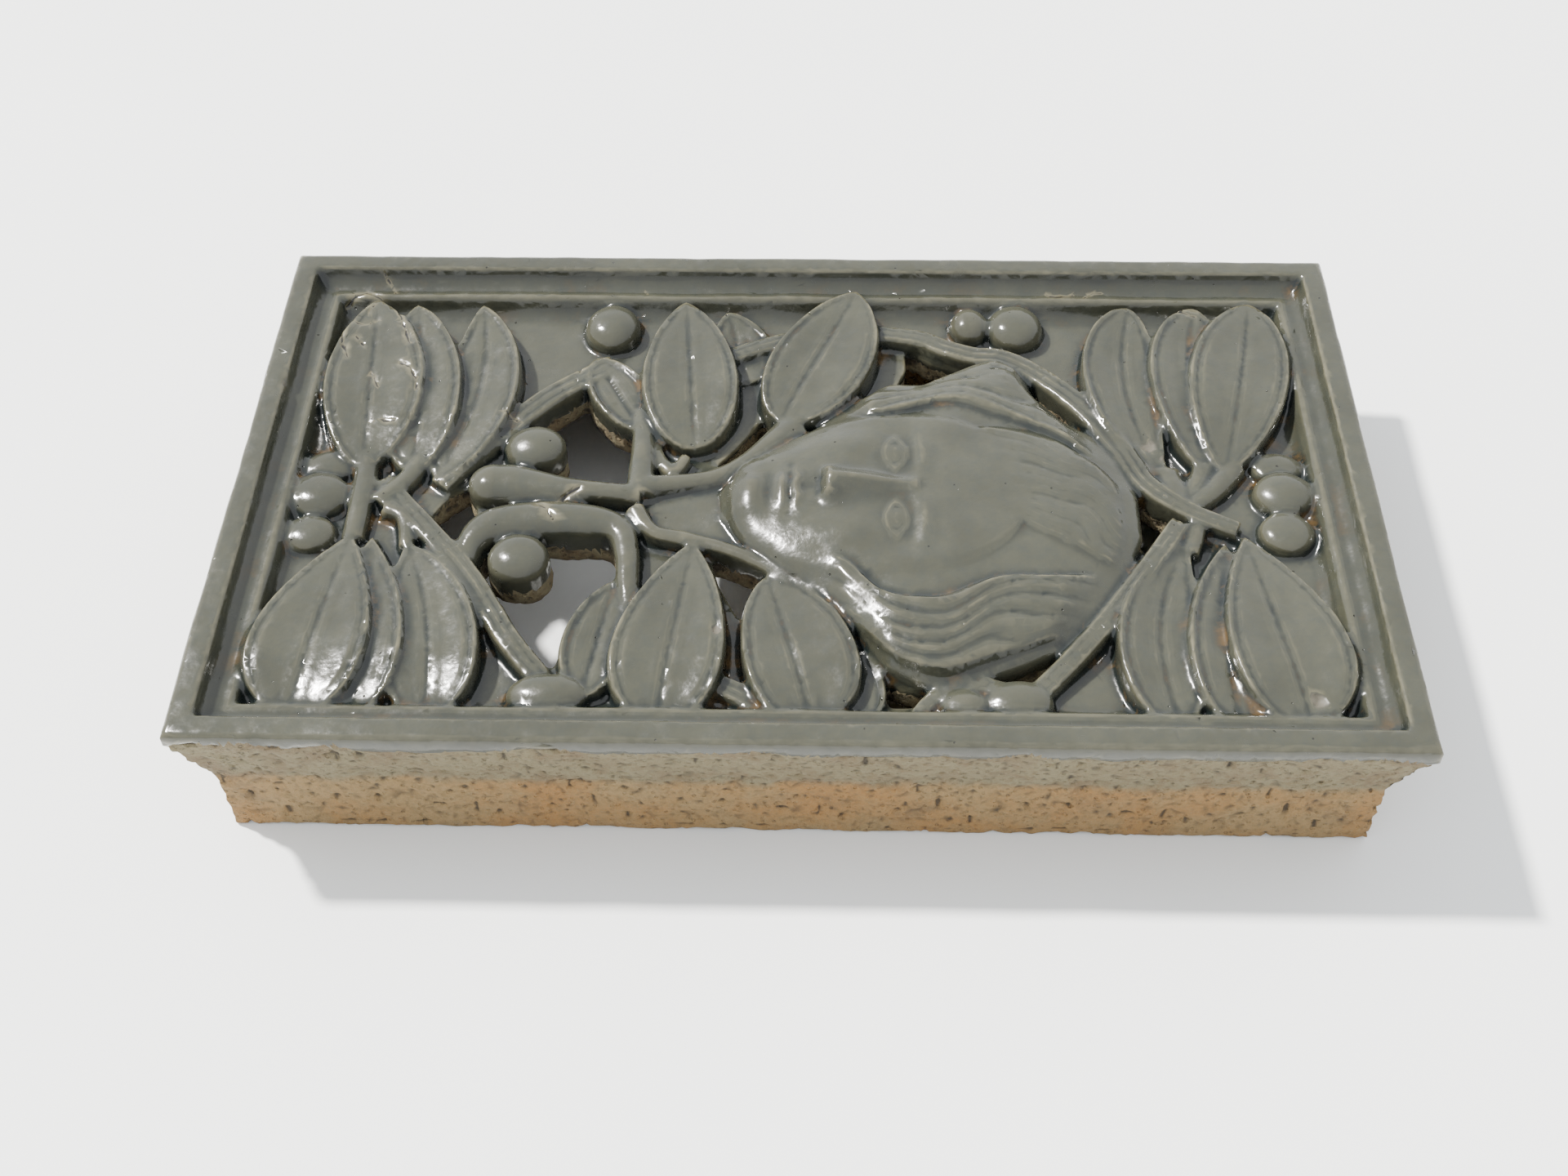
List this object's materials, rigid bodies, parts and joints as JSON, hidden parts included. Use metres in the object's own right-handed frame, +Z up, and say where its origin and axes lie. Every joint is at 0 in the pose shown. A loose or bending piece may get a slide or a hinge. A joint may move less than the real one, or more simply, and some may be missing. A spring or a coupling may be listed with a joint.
{
  "type": "ceramic ventilation tile",
  "caption": "Glazed ceramic stove ventilation tile, oblong and open-backed, with a moulded frame around a pierced relief of mistletoe leaves, berries and a mask.",
  "frame": {"origin": "middle of the underside, on the plane of the rear wall's edge that the tile lies on", "axes": "+X along the tile's length towards the crown of the mask's head, +Y across its width, +Z up out of the glazed face"},
  "size_m": [0.38, 0.222, 0.0676],
  "materials": {
    "glazed_body": "gloss"
  },
  "bodies": {
    "root": {"ventilation_tile": "glazed_body"}
  },
  "joints": []
}
